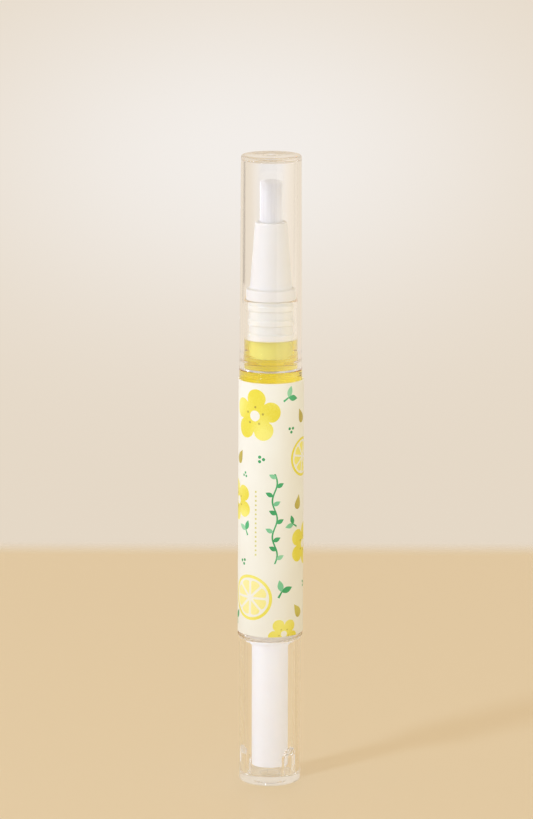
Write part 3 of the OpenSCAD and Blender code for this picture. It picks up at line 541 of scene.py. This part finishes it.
# The front: each motif by its place across and up the label, its size and its turn. Across is 0 in front.
prints = [
    *blossom(-3.4, 46.6, 5.6, 14), *sprig(3.9, 50.4, 2.5, -58), *oil_drop(7.7, 46.2, 3.3, 24),
    *trefoil(4.6, 43.6, 0.5, 30), *citrus(8.6, 37.4, 4.1, 10), *oil_drop(-7.7, 37.6, 3.4, -30),
    *trefoil(-2.0, 37.6, 0.55, 0), *vine(0.9, 15.6, 34.6), *blossom(-8.6, 28.2, 4.5, 40),
    *sprig(-5.6, 22.4, 2.2, 24), *trefoil(-5.9, 34.0, 0.42, 80), *oil_drop(6.7, 28.2, 3.2, -14),
    *blossom(8.9, 18.9, 4.6, 0), *sprig(5.2, 23.6, 2.1, 60), *trefoil(-6.3, 15.6, 0.5, 45),
    *citrus(-4.4, 8.2, 4.8, 22), *sprig(2.4, 9.6, 2.6, -30), *oil_drop(6.4, 5.2, 3.4, 35),
    *sprig(-9.4, 2.9, 2.3, 12), *trefoil(9.2, 10.4, 0.5, 10), *blossom(2.9, 0.6, 3.4, 50),
]
# A row of dots beside the vine.
dots, dots_u, dots_low_v, dot_pitch, dot_r = 15, -3.1, 17.4, 0.95, 0.22
prints += [("dotted", disc(dots_u, dots_low_v + i * dot_pitch, dot_r, 12)) for i in range(dots)]
# The back of the label repeats the motifs on a staggered grid.
back_motifs = [blossom, citrus, sprig, oil_drop, blossom, trefoil]
back_sizes, back_scale = [4.6, 4.0, 2.5, 3.3, 3.8, 0.5], 0.92
back_columns, back_rows, column_pitch, row_pitch, stagger = 4, 9, 5.2, 6.1, 2.8
for column in range(back_columns):
    for row in range(back_rows):
        pick = (2 * column + row) % len(back_motifs)
        across = -15.4 - column_pitch * column
        up = 2.6 + row_pitch * row + stagger * (column % 2)
        prints += back_motifs[pick](across, up, back_sizes[pick] * back_scale, 37 * row + 50 * column)

# The print is cut into the flat label, which is then wrapped. Columns of edges let it bend evenly.
inks = ["paper", "yellow", "pale", "olive", "green", "mint", "dotted"]
bend_columns = 150
label_width = label_u_end - label_u_start
flat_points = [(label_u_start, 0), (label_u_end, 0), (label_u_end, label_h), (label_u_start, label_h)]
flat_edges, flat_faces, face_inks = [], [[0, 1, 2, 3]], ["paper"]
for i in range(1, bend_columns):
    u = label_u_start + label_width * i / bend_columns
    flat_edges.append((len(flat_points), len(flat_points) + 1))
    flat_points += [(u, 0), (u, label_h)]
for ink, shape in prints:
    area = sum(a[0] * b[1] - b[0] * a[1] for a, b in zip(shape, shape[1:] + shape[:1]))
    shape = shape if area > 0 else shape[::-1]
    flat_faces.append(list(range(len(flat_points), len(flat_points) + len(shape))))
    flat_points += shape
    face_inks.append(ink)
cut_points, _, cut_faces, _, _, cut_owners = geometry.delaunay_2d_cdt(
    [Vector(p) for p in flat_points], flat_edges, flat_faces, 1, 1e-5
)


def on_label(u, v, outside):
    """Place on the wrapped label, on its outer or inner face, in metres."""
    turn = u / label_mean_r
    up_barrel = (label_low_z + v - tail_z) / body_h
    wall_r = barrel_tail_r + (barrel_front_r - barrel_tail_r) * up_barrel
    lift = max(0, 1 - (label_end_turn - turn) / label_lift_turn)
    lift_here = label_lift * (lift_at_bottom + (1 - lift_at_bottom) * v / label_h)
    r = wall_r + glue_t + lift_here * lift * lift * (3 - 2 * lift) + (label_t if outside else 0)
    return (r * math.sin(turn) * MM, -r * math.cos(turn) * MM, (label_low_z + v) * MM)


count = len(cut_points)
label_points = [on_label(u, v, outside) for outside in (True, False) for u, v in cut_points]
label_faces, label_inks, rim = [], [], {}
for face, owners in zip(cut_faces, cut_owners):
    if 0 not in owners:
        continue
    label_faces.append(list(face))
    label_inks.append(inks.index(face_inks[max(owners)]))
    for a, b in zip(face, list(face[1:]) + [face[0]]):
        if (b, a) in rim:
            del rim[(b, a)]
        else:
            rim[(a, b)] = True
outer_count = len(label_faces)
label_faces += [[v + count for v in reversed(face)] for face in label_faces]
label_faces += [[b, a, a + count, b + count] for a, b in rim]
label_inks += [len(inks)] * (len(label_faces) - outer_count)
label_mesh = bpy.data.meshes.new("label")
label_mesh.from_pydata(label_points, [], label_faces)
label = bpy.data.objects.new("printed_label", label_mesh)
bpy.context.collection.objects.link(label)


def printed_paper(name, light, deep, grain, roughness):
    """Label paper under one ink, with a satin film. The ink fades unevenly, and its screen leaves grain."""
    # The print screen is about 0.1 mm. It is drawn coarser, so that it shows.
    fade_mm, screen_mm = 7, 0.25
    material, tree = new_material(name)
    place = add(tree, "TexCoord")
    fade = add(tree, "TexNoise", {
        "Vector": place.outputs["Object"], "Scale": 1 / (fade_mm * MM), "Detail": 0.0,
    })
    screen = add(tree, "TexNoise", {
        "Vector": place.outputs["Object"], "Scale": 1 / (screen_mm * MM), "Detail": 2.0,
    })
    spread = add(tree, "MapRange", {"Value": fade.outputs[0], "From Min": 0.35, "From Max": 0.65})
    mottle = add(tree, "MapRange", {"Value": screen.outputs[0], "To Min": -grain, "To Max": grain})
    factor = add(tree, "Math", {
        0: spread.outputs[0], 1: mottle.outputs[0],
    }, operation="ADD", use_clamp=True)
    tone = add(tree, "Mix", {
        "Factor": factor.outputs[0], 6: linear(deep), 7: linear(light),
    }, data_type="RGBA")
    bump = add(tree, "Bump", {"Height": screen.outputs[0], "Distance": 0.003 * MM, "Strength": 1.0})
    body = add(tree, "BsdfPrincipled", {
        "Base Color": tone.outputs[2], "Roughness": roughness, "IOR": 1.48, "Specular IOR Level": 0.35,
        "Normal": bump.outputs[0],
    })
    add(tree, "OutputMaterial", {"Surface": body.outputs[0]})
    return material


# Offset inks on cream paper, each in its light and its deep tone: clean edges, soft fades and fine grain.
for ink, light, deep, grain in [
    ("paper", "#EFF0E4", "#EDEDE0", 0.1), ("yellow", "#F2EC78", "#E6DA3C", 0.5),
    ("pale", "#F6F0A4", "#F0E870", 0.4), ("olive", "#CFC65A", "#B4A23C", 0.5),
    ("green", "#4FB878", "#38A05E", 0.4), ("mint", "#9AD8AC", "#74C693", 0.4),
    ("dotted", "#DCDC8C", "#D2D078", 0.3),
]:
    label_mesh.materials.append(printed_paper("label_print_" + ink, light, deep, grain, 0.42))
# The bare back of the paper: white, uncoated and fibrous. A faint painted glow on it stands for the light
# that comes through the thin paper and along the clear wall.
back_paper, back_tree = new_material("label_back_paper")
back_place = add(back_tree, "TexCoord")
back_fibres = add(back_tree, "TexNoise", {
    "Vector": back_place.outputs["Object"], "Scale": 1 / (0.4 * MM), "Detail": 3.0,
})
back_tone = add(back_tree, "Mix", {
    "Factor": back_fibres.outputs[0], 6: linear("#FBF9F2"), 7: linear("#FFFEFA"),
}, data_type="RGBA")
back_body = add(back_tree, "BsdfPrincipled", {
    "Base Color": back_tone.outputs[2], "Roughness": 0.7, "IOR": 1.48,
    "Subsurface Weight": 1.0, "Subsurface Scale": 1.0 * MM, "Subsurface Radius": (1.0, 1.0, 1.0),
    "Emission Color": linear("#FFFDF4"), "Emission Strength": 0.05,
})
add(back_tree, "OutputMaterial", {"Surface": back_body.outputs[0]})
label_mesh.materials.append(back_paper)
label_mesh.polygons.foreach_set("material_index", label_inks)
label_mesh.polygons.foreach_set("use_smooth", [True] * len(label_faces))
label_mesh.set_sharp_from_angle(angle=math.radians(35))
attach(label, "barrel")
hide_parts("label")


# Drive tube. A white acetal tube that the knob's ribs grip: a thin collar closes the knob's mouth on
# two webs, and above it a flange and a keyed spindle reach into the barrel.
tube_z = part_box("drive_tube")[0][2] / MM
tube_top_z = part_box("drive_tube")[1][2] / MM
tube_r, tube_bore_r = 3.79, 2.7
# The collar's underside is a little inside the knob's mouth.
collar_r, collar_t, collar_drop = 5.08, 0.6, 0.7
collar_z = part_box("knob")[1][2] / MM - collar_drop
collar_top_z = collar_z + collar_t
# The webs reach into the tube's wall and the collar, and stop a hair short of the collar's rim.
web_h, web_t, web_root_r, web_out_r, web_top_z = 1.2, 0.7, tube_r - 0.5, collar_r - 0.05, collar_z + 0.3
# The flange stands on the retaining ring. Above it the spindle's bore is keyed by two flats.
tube_flange_z, tube_flange_t, tube_flange_r = tail_z + 2.7, 1.2, 4.9
spindle_z = tube_flange_z + tube_flange_t
spindle_r, key_r, key_h, flat_t, flat_middle = 3.2, 2.06, 3.4, 0.36, 1.94
key_z = tube_top_z - key_h


def block(name, outline, thickness):
    """A flat plate in the plane of +X and +Z through the axis, from an outline in mm."""
    half = thickness / 2
    points = [(x * MM, y * MM, z * MM) for y in (-half, half) for x, z in outline]
    n = len(outline)
    faces = [list(range(n)), list(reversed(range(n, 2 * n)))]
    faces += [[(i + 1) % n, i, i + n, (i + 1) % n + n] for i in range(n)]
    mesh = bpy.data.meshes.new(name)
    mesh.from_pydata(points, [], faces)
    piece = bpy.data.objects.new(name, mesh)
    bpy.context.collection.objects.link(piece)
    return piece


def joined(piece, tool, turn, operation="UNION"):
    """Fuses a tool's solid, turned about the axis, into a piece, or cuts it out, and removes the tool."""
    tool.rotation_euler[2] = turn
    step = piece.modifiers.new("join", "BOOLEAN")
    step.operation, step.solver, step.object = operation, "EXACT", tool
    bpy.context.view_layer.update()
    solid = bpy.data.meshes.new_from_object(piece.evaluated_get(bpy.context.evaluated_depsgraph_get()))
    piece.modifiers.remove(step)
    old, piece.data = piece.data, solid
    bpy.data.meshes.remove(old)
    bpy.data.objects.remove(tool)


drive_tube = spun("white_drive_tube", [
    (tube_bore_r, tube_z, 0.15), (tube_r, tube_z, 0.2), (tube_r, collar_z, 0.1),
    (collar_r, collar_z, 0.1), (collar_r, collar_top_z, 0.1), (tube_r, collar_top_z, 0.1),
    (tube_r, tube_flange_z, 0.1), (tube_flange_r, tube_flange_z, 0.15), (tube_flange_r, spindle_z, 0.15),
    (spindle_r, spindle_z, 0.1), (spindle_r, tube_top_z, 0.1), (key_r, tube_top_z, 0.1),
    (key_r, key_z, 0.05), (tube_bore_r, key_z, 0.1),
], turns=128)
for side in range(2):
    web = block("web", [
        (web_root_r, web_top_z), (web_out_r, web_top_z), (web_out_r, collar_z),
        (tube_r, collar_z - web_h), (web_root_r, collar_z - web_h),
    ], web_t)
    joined(drive_tube, web, math.pi * side)
    flat = block("flat", [
        (-key_r, key_z), (key_r, key_z), (key_r, tube_top_z), (-key_r, tube_top_z),
    ], flat_t)
    flat.data.transform(Matrix.Translation((0, flat_middle * MM, 0)))
    joined(drive_tube, flat, math.pi * side)
# White acetal: denser and a little glossier than the nozzle. A painted bluish glow stands for the light
# that the clear knob gathers onto it.
white_acetal = satin_plastic("white_acetal", "#F9F7F6", "#F3F0EE", 0.3, 0.4, glow="#3F5973")
finished(drive_tube, white_acetal, "knob", ["drive_tube"])


# Feed parts. They are hidden in the barrel and the nozzle, and keep the frame's own shapes. The piston
# and the brush holder are polypropylene, the feed tube is polyethylene and the rest is moulded acetal.

# Feed acetal: greyer and duller than the drive tube's, as small working parts are.
feed_acetal = satin_plastic("moulded_feed_acetal", "#F1EFEC", "#E9E7E3", 0.38, 0.4)
for node, material in [
    ("screw_rod", feed_acetal), ("thread_nut", feed_acetal), ("ratchet_ring", feed_acetal),
    ("click_spring", feed_acetal), ("piston", white_polypropylene), ("retaining_ring", feed_acetal),
    ("brush_holder", white_polypropylene), ("feed_tube", natural_polyethylene),
]:
    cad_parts[node].data.materials.clear()
    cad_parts[node].data.materials.append(material)

# Silicone rubber: pale, soft-looking and dull, with a fine moulded grain.
silicone, seal_tree = new_material("silicone_rubber")
seal_place = add(seal_tree, "TexCoord")
seal_grain = add(seal_tree, "TexNoise", {
    "Vector": seal_place.outputs["Object"], "Scale": 1 / (0.2 * MM),
})
seal_tone = add(seal_tree, "Mix", {
    "Factor": seal_grain.outputs[0], 6: linear("#D9D6CE"), 7: linear("#E6E3DC"),
}, data_type="RGBA")
seal_body = add(seal_tree, "BsdfPrincipled", {
    "Base Color": seal_tone.outputs[2], "Roughness": 0.55, "IOR": 1.41,
})
add(seal_tree, "OutputMaterial", {"Surface": seal_body.outputs[0]})
for node in ("piston_front_ring", "piston_rear_ring"):
    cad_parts[node].data.materials.clear()
    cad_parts[node].data.materials.append(silicone)


# Knob. A clear polystyrene beaker with a thick floor. It grips the drive tube's collar in its mouth,
# and three foot ribs with slanted tops centre the tube's lower end. A shallow gate recess is underneath.
knob_top_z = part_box("knob")[1][2] / MM
knob_r, knob_bore_r, knob_floor_t, mouth_chamfer = 6.43, 5.1, 1.8, 0.35
foot_gate_r, foot_gate_drop = 2.1, 0.15
# The ribs' tops slant down to the tube, and their roots reach into the wall and the floor.
rib_count, rib_h, rib_drop, rib_t, rib_near_r, rib_turn = 3, 6.0, 1.9, 2.7, 4.5, 19
rib_top_z = knob_floor_t + rib_h
rib_near_z = rib_top_z - rib_drop
rib_root_r, rib_root_z, rib_inner_r = knob_bore_r + 0.3, knob_floor_t - 0.4, rib_near_r - 1

# Clear polystyrene: brilliant and faintly warm, with a higher index than acrylic, so that its edges
# flash and darken strongly.
clear_polystyrene = clear_plastic("clear_polystyrene", "#FFFFFE", 1.59, 0.004)

# A ring of points above the ribs keeps the long bore face apart from the faces that the ribs cut.
knob = spun("clear_twist_knob", [
    (0, foot_gate_drop, 0), (foot_gate_r - 0.08, foot_gate_drop, 0.05), (foot_gate_r, 0, 0.05),
    (knob_r, 0, 0.45), (knob_r, knob_top_z, 0.12), (knob_bore_r + mouth_chamfer, knob_top_z, 0.08),
    (knob_bore_r, knob_top_z - mouth_chamfer, 0.1), (knob_bore_r, rib_top_z + 0.6, 0),
    (knob_bore_r, knob_floor_t, 0.2), (0, knob_floor_t, 0),
])
for i in range(rib_count):
    rib = block("rib", [
        (rib_inner_r, rib_root_z), (rib_root_r, rib_root_z), (rib_root_r, rib_top_z),
        (knob_bore_r, rib_top_z), (rib_near_r, rib_near_z), (rib_inner_r, rib_near_z),
    ], rib_t)
    joined(knob, rib, math.radians(180 + rib_turn - 360 / rib_count * i))
# The ribs' inner faces are round, where the core that shapes the bore stood.
core_low_z, core_high_z = knob_floor_t + 0.003, rib_top_z + 0.3
joined(knob, spun("tube_room", [
    (0, core_low_z, 0), (rib_near_r, core_low_z, 0), (rib_near_r, core_high_z, 0), (0, core_high_z, 0),
]), 0, "DIFFERENCE")
# The slant of the rib tops is shallow, so edges stay sharp from a low angle up.
finished(knob, clear_polystyrene, "knob", ["knob"], sharp_from=14)


# Cap. A clear polystyrene tube with a thick closed end, which slides over the nozzle and seats on the
# barrel's shoulder. Its gate leaves a round recess on top, and a blunt point inside.
cap_mouth_r, cap_top_r, cap_bore_r, cap_mouth_chamfer = 6.46, 6.18, 5.6, 0.35
# Its mouth presses on the shoulder, so the two overlap by a hair.
cap_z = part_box("cap")[0][2] / MM - 0.06
cap_top_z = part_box("cap")[1][2] / MM
cap_end_z = cap_top_z - 1.0
gate_r, gate_drop, gate_point = 1.7, 0.4, 0.35
# The groove for the neck's snap bead: its depth, and half its height at its floor and at its foot.
groove_depth, groove_floor, groove_foot = 0.16, 0.6, 1.2

# Water-clear polystyrene: as brilliant as the knob's, without its faint warmth.
water_clear_polystyrene = clear_plastic("water_clear_polystyrene", "#FFFFFF", 1.59, 0.004)

cap = spun("clear_cap", [
    (0, cap_end_z - gate_point, 0), (gate_r + gate_point, cap_end_z, 0.15), (cap_bore_r, cap_end_z, 0.25),
    (cap_bore_r, snap_z + groove_foot, 0.1), (cap_bore_r + groove_depth, snap_z + groove_floor, 0.1),
    (cap_bore_r + groove_depth, snap_z - groove_floor, 0.1), (cap_bore_r, snap_z - groove_foot, 0.1),
    (cap_bore_r, cap_z + cap_mouth_chamfer, 0.1), (cap_bore_r + cap_mouth_chamfer, cap_z, 0.06),
    (cap_mouth_r, cap_z, 0.1), (cap_top_r, cap_top_z, 0.45), (gate_r, cap_top_z, 0.08),
    (gate_r, cap_top_z - gate_drop, 0.1), (0, cap_top_z - gate_drop, 0),
])
finished(cap, water_clear_polystyrene, "cap", ["cap"])


# Table. A pale board with a satin paint, on which the pen stands. It is wide enough to catch the long
# shadow, and its rim melts into the backdrop.
table_half, table_blur = 0.209, 0.009
# The pen's foot touches the board on a few high spots, with a breath of air under the rest.
table_z = -0.00005
table_mesh = bpy.data.meshes.new("table")
reach = table_half + table_blur
table_corners = [(-reach, -reach), (reach, -reach), (reach, reach), (-reach, reach)]
table_mesh.from_pydata([(x, y, table_z) for x, y in table_corners], [], [(0, 1, 2, 3)])
table = bpy.data.objects.new("table", table_mesh)
bpy.context.collection.objects.link(table)

# Painted board: warm sand, satin, and clear towards its rim, so that it fades into the backdrop.
satin_board, board_tree = new_material("pale_satin_board")
board_place = add(board_tree, "TexCoord")
board_axes = add(board_tree, "SeparateXYZ", {"Vector": board_place.outputs["Object"]})
board_x = add(board_tree, "Math", {0: board_axes.outputs["X"]}, operation="ABSOLUTE")
board_y = add(board_tree, "Math", {0: board_axes.outputs["Y"]}, operation="ABSOLUTE")
board_out = add(board_tree, "Math", {
    0: board_x.outputs[0], 1: board_y.outputs[0],
}, operation="MAXIMUM")
board_edge = add(board_tree, "MapRange", {
    "Value": board_out.outputs[0], "From Min": table_half - table_blur, "From Max": reach,
}, interpolation_type="SMOOTHSTEP")
board_body = add(board_tree, "BsdfPrincipled", {
    "Base Color": linear("#EFDEBB"), "Roughness": 0.38, "Specular IOR Level": 0.3,
})
board_open = add(board_tree, "BsdfTransparent")
board_mix = add(board_tree, "MixShader", {
    0: board_edge.outputs[0], 1: board_body.outputs[0], 2: board_open.outputs[0],
})
add(board_tree, "OutputMaterial", {"Surface": board_mix.outputs[0]})
table_mesh.materials.append(satin_board)


# Backdrop and light. The backdrop is the world itself: warm low down, brighter in a soft pool behind the
# cap. A lamp at the front left casts the long shadow, and a tall white card stands at the right.
world = bpy.data.worlds.new("studio")
bpy.context.scene.world = world
world.use_nodes = True
world_tree = world.node_tree
world_tree.nodes.clear()
sky = add(world_tree, "TexCoord")
sky_axes = add(world_tree, "SeparateXYZ", {"Vector": sky.outputs["Generated"]})
# The pool's middle and reach, as parts of a unit direction to the right and up.
pool_x, pool_z, pool_width, pool_height = -0.005, -0.128, 0.078, 0.046
pool_across = add(world_tree, "Math", {0: sky_axes.outputs["X"], 1: pool_x}, operation="SUBTRACT")
pool_up = add(world_tree, "Math", {0: sky_axes.outputs["Z"], 1: pool_z}, operation="SUBTRACT")
pool_wide = add(world_tree, "Math", {0: pool_across.outputs[0], 1: pool_width}, operation="DIVIDE")
pool_high = add(world_tree, "Math", {0: pool_up.outputs[0], 1: pool_height}, operation="DIVIDE")
pool_flat = add(world_tree, "CombineXYZ", {"X": pool_wide.outputs[0], "Y": pool_high.outputs[0]})
pool_reach = add(world_tree, "VectorMath", {0: pool_flat.outputs[0]}, operation="LENGTH")
pool_square = add(world_tree, "Math", {0: pool_reach.outputs["Value"], 1: 2.0}, operation="POWER")
pool_fall = add(world_tree, "Math", {0: pool_square.outputs[0], 1: -1.0}, operation="MULTIPLY")
pool_glow = add(world_tree, "Math", {0: pool_fall.outputs[0]}, operation="EXPONENT")
wall_tone = add(world_tree, "Mix", {
    "Factor": pool_glow.outputs[0], 6: linear("#E5D8C6"), 7: linear("#F3EEE9"),
}, data_type="RGBA")
# Well above the horizon the studio's shaded ceiling takes over.
ceiling_share = add(world_tree, "MapRange", {
    "Value": sky_axes.outputs["Z"], "From Min": 0.2, "From Max": 0.6,
})
room = add(world_tree, "Mix", {
    "Factor": ceiling_share.outputs[0], 6: wall_tone.outputs[2], 7: linear("#D6CCC0"),
}, data_type="RGBA")
# What lights rough surfaces is white low down, stronger from the left, and warm overhead. It is set as
# strengths of light, which may pass 1. The wall itself shows only directly, in a reflection or through
# clear plastic, and the room is dim on the camera's side.
side_share = add(world_tree, "MapRange", {
    "Value": sky_axes.outputs["X"], "From Min": -0.6, "From Max": 0.9,
})
low_fill = add(world_tree, "Mix", {
    "Factor": side_share.outputs[0], 6: (1.75, 1.76, 2.0, 1.0), 7: (1.12, 1.12, 1.04, 1.0),
}, data_type="RGBA")
overhead = add(world_tree, "MapRange", {
    "Value": sky_axes.outputs["Z"], "From Min": 0.0, "From Max": 0.5,
})
fill = add(world_tree, "Mix", {
    "Factor": overhead.outputs[0], 6: low_fill.outputs[2], 7: (0.76, 0.62, 0.44, 1.0),
}, data_type="RGBA")
front_share = add(world_tree, "MapRange", {
    "Value": sky_axes.outputs["Y"], "From Min": -0.45, "From Max": -0.75,
})
studio = add(world_tree, "Mix", {
    "Factor": front_share.outputs[0], 6: room.outputs[2], 7: linear("#B3AFB5"),
}, data_type="RGBA")
ray = add(world_tree, "LightPath")
mirrored = add(world_tree, "Math", {
    0: ray.outputs["Is Glossy Ray"], 1: ray.outputs["Is Transmission Ray"],
}, operation="MAXIMUM")
seen = add(world_tree, "Math", {
    0: mirrored.outputs[0], 1: ray.outputs["Is Camera Ray"],
}, operation="MAXIMUM")
radiance = add(world_tree, "Mix", {
    "Factor": seen.outputs[0], 6: fill.outputs[2], 7: studio.outputs[2],
}, data_type="RGBA")
# What is mirrored or seen through clear plastic is a little brighter than the wall itself.
gathered = add(world_tree, "MapRange", {"Value": mirrored.outputs[0], "To Min": 1.0, "To Max": 1.06})
wall = add(world_tree, "Background", {"Color": radiance.outputs[2], "Strength": gathered.outputs[0]})
add(world_tree, "OutputWorld", {"Surface": wall.outputs[0]})


def lamp(name, at, aim, width, height, watts, colour):
    """A soft rectangular light at a place in metres that faces another. The camera doesn't see it."""
    light = bpy.data.lights.new(name, "AREA")
    light.shape, light.size, light.size_y = "RECTANGLE", width, height
    light.energy, light.color = watts, linear(colour)[:3]
    holder = bpy.data.objects.new(name, light)
    holder.location = at
    holder.rotation_euler = (Vector(aim) - Vector(at)).to_track_quat("-Z", "Y").to_euler()
    holder.visible_camera = False
    bpy.context.collection.objects.link(holder)
    return holder


# The key light is cool daylight from the front left. Beside it a smaller lamp adds sparkle to what is
# polished, and nothing else.
lamp("key", (-0.82, -0.74, 0.78), (0, 0, 0.06), 0.16, 0.16, 4.0, "#BEDBFF")
sparkle = lamp("sparkle", (-0.74, -0.80, 0.80), (0, 0, 0.08), 0.12, 0.12, 6.0, "#F4F8FF")
sparkle.visible_diffuse = False
# The card stands close by at the right. It shows as a sheen on polished outer faces, and never through
# clear plastic, where it would stand out against the wall.
card = lamp("card", (0.194, -0.089, 0.26), (0, 0, 0.26), 0.424, 0.5, 0.5, "#FFFBF4")
card.visible_diffuse = card.visible_transmission = False

# A narrow dark flag at the back left, square to the pen, draws the line along the bore's left edge.
flag_x, flag_y, flag_half, flag_low_z, flag_high_z = -0.28, 0.21, 0.05, 0.0445, 0.087
flag_edge = [(-flag_half, 0), (flag_half, 0)]
flag_points = [(x, y, flag_low_z) for x, y in flag_edge] + [(x, y, flag_high_z) for x, y in flag_edge[::-1]]
flag_mesh = bpy.data.meshes.new("flag")
flag_mesh.from_pydata(flag_points, [], [(0, 1, 2, 3)])
flag = bpy.data.objects.new("flag", flag_mesh)
flag.location = (flag_x, flag_y, 0)
flag.rotation_euler[2] = math.atan2(-flag_x, flag_y)
flag.visible_camera = flag.visible_diffuse = flag.visible_shadow = False
bpy.context.collection.objects.link(flag)

# Dark felt: rough, flat and faintly mottled by its nap.
dark_felt, felt_tree = new_material("dark_felt")
felt_place = add(felt_tree, "TexCoord")
felt_nap = add(felt_tree, "TexNoise", {
    "Vector": felt_place.outputs["Object"], "Scale": 1 / (2 * MM),
})
felt_tone = add(felt_tree, "Mix", {
    "Factor": felt_nap.outputs[0], 6: linear("#5E574F"), 7: linear("#686159"),
}, data_type="RGBA")
felt_body = add(felt_tree, "BsdfPrincipled", {"Base Color": felt_tone.outputs[2], "Roughness": 0.9})
add(felt_tree, "OutputMaterial", {"Surface": felt_body.outputs[0]})
flag_mesh.materials.append(dark_felt)


# Camera. A long lens some way off, which looks down by 11 degrees and leans by a hair, as the photograph
# does. Its angle of view follows from the picture's height and the focal length, both in pixels.
picture_h, focal_length = 819, 3796.2
tilt_down, lean = 11.265, 0.147
camera_data = bpy.data.cameras.new("camera")
camera = bpy.data.objects.new("camera", camera_data)
bpy.context.collection.objects.link(camera)
bpy.context.scene.camera = camera
camera_data.sensor_fit = "VERTICAL"
camera_data.angle = 2 * math.atan(picture_h / 2 / focal_length)
camera_data.clip_start = 0.01
camera.location = (-0.00125, -0.7685, 0.2321)
camera.rotation_euler = (math.radians(90 - tilt_down), math.radians(-lean), 0)
bpy.context.scene.view_settings.view_transform = "Standard"
# Light that is caught in a clear wall bounces along it dozens of times before it gets out, so it is
# followed that far. Cut short, it would leave black marks at the rims.
light_paths = bpy.context.scene.cycles
light_paths.max_bounces, light_paths.transmission_bounces = 512, 512
light_paths.glossy_bounces, light_paths.transparent_max_bounces = 512, 64
